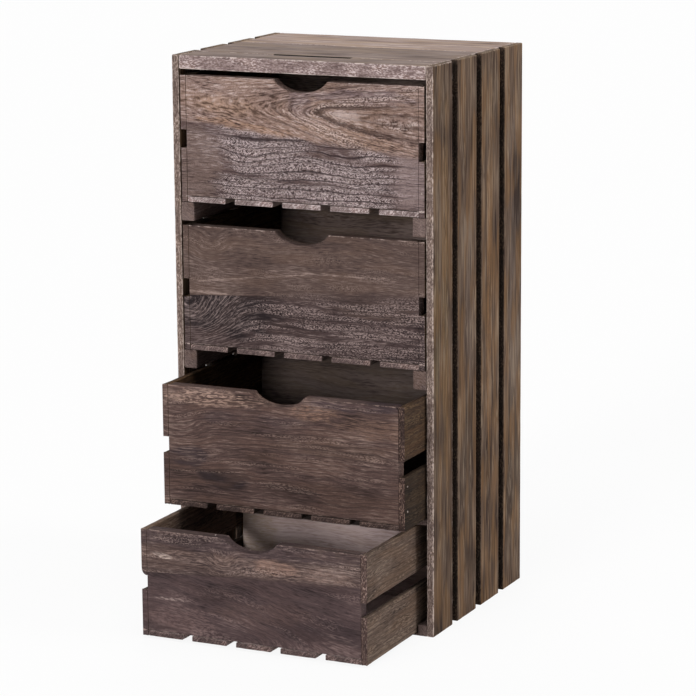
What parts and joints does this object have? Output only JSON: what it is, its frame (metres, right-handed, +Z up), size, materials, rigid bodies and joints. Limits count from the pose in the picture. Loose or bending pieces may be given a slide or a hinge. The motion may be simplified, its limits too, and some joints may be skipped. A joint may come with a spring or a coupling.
{
  "type": "chest of drawers",
  "caption": "Tall narrow chest with slatted sides and crate-style drawers on wooden runners, each front with a finger scoop; the lower drawers stand part open.",
  "frame": {"origin": "on the floor, below the middle of the whole chest as it stands, with the open drawers counted in", "axes": "+Z up; the drawer fronts face -Y; +X is to the right of someone who faces the fronts"},
  "size_m": [0.304, 0.37, 0.61],
  "materials": {
    "top_wood": "weathered grey-tan softwood, brushed, matt",
    "side_wood": "torched and brushed softwood, olive brown, matt",
    "front_wood": "torched and brushed softwood, dark grey brown with pale pores",
    "drawer_side_wood": "torched softwood slats, dark olive brown, matt",
    "runner_wood": "sawn softwood, dark stain, matt",
    "inside_wood": "plain softwood, dark stain, matt"
  },
  "bodies": {
    "cabinet": {"left_side_slat_1": "side_wood", "left_side_slat_2": "side_wood", "left_side_slat_3": "side_wood", "left_side_slat_4": "side_wood", "right_side_slat_1": "side_wood", "right_side_slat_2": "side_wood", "right_side_slat_3": "side_wood", "right_side_slat_4": "side_wood", "top_front_board": "top_wood", "top_rear_board_1": "top_wood", "top_rear_board_2": "top_wood", "back_board_1": "inside_wood", "back_board_2": "inside_wood", "back_board_3": "inside_wood", "back_board_4": "inside_wood", "left_runner_1": "runner_wood", "left_runner_2": "runner_wood", "left_runner_3": "runner_wood", "left_runner_4": "runner_wood", "right_runner_1": "runner_wood", "right_runner_2": "runner_wood", "right_runner_3": "runner_wood", "right_runner_4": "runner_wood"},
    "drawer_1": {"drawer_1_front": "front_wood", "drawer_1_rear_and_floor": "inside_wood", "drawer_1_left_upper_slat": "drawer_side_wood", "drawer_1_left_lower_slat": "drawer_side_wood", "drawer_1_right_upper_slat": "drawer_side_wood", "drawer_1_right_lower_slat": "drawer_side_wood"},
    "drawer_2": {"drawer_2_front": "front_wood", "drawer_2_rear_and_floor": "inside_wood", "drawer_2_left_upper_slat": "drawer_side_wood", "drawer_2_left_lower_slat": "drawer_side_wood", "drawer_2_right_upper_slat": "drawer_side_wood", "drawer_2_right_lower_slat": "drawer_side_wood"},
    "drawer_3": {"drawer_3_front": "front_wood", "drawer_3_rear_and_floor": "inside_wood", "drawer_3_left_upper_slat": "drawer_side_wood", "drawer_3_left_lower_slat": "drawer_side_wood", "drawer_3_right_upper_slat": "drawer_side_wood", "drawer_3_right_lower_slat": "drawer_side_wood"},
    "drawer_4": {"drawer_4_front": "front_wood", "drawer_4_rear_and_floor": "inside_wood", "drawer_4_left_upper_slat": "drawer_side_wood", "drawer_4_left_lower_slat": "drawer_side_wood", "drawer_4_right_upper_slat": "drawer_side_wood", "drawer_4_right_lower_slat": "drawer_side_wood"}
  },
  "joints": [
    {"name": "drawer_1_slide", "type": "slide", "parent": "cabinet", "child": "drawer_1", "axis": [0, -1, 0], "range_m": [0, 0.175]},
    {"name": "drawer_2_slide", "type": "slide", "parent": "cabinet", "child": "drawer_2", "axis": [0, -1, 0], "range_m": [0, 0.175]},
    {"name": "drawer_3_slide", "type": "slide", "parent": "cabinet", "child": "drawer_3", "axis": [0, -1, 0], "range_m": [-0.053, 0.122]},
    {"name": "drawer_4_slide", "type": "slide", "parent": "cabinet", "child": "drawer_4", "axis": [0, -1, 0], "range_m": [-0.125, 0.05]}
  ]
}
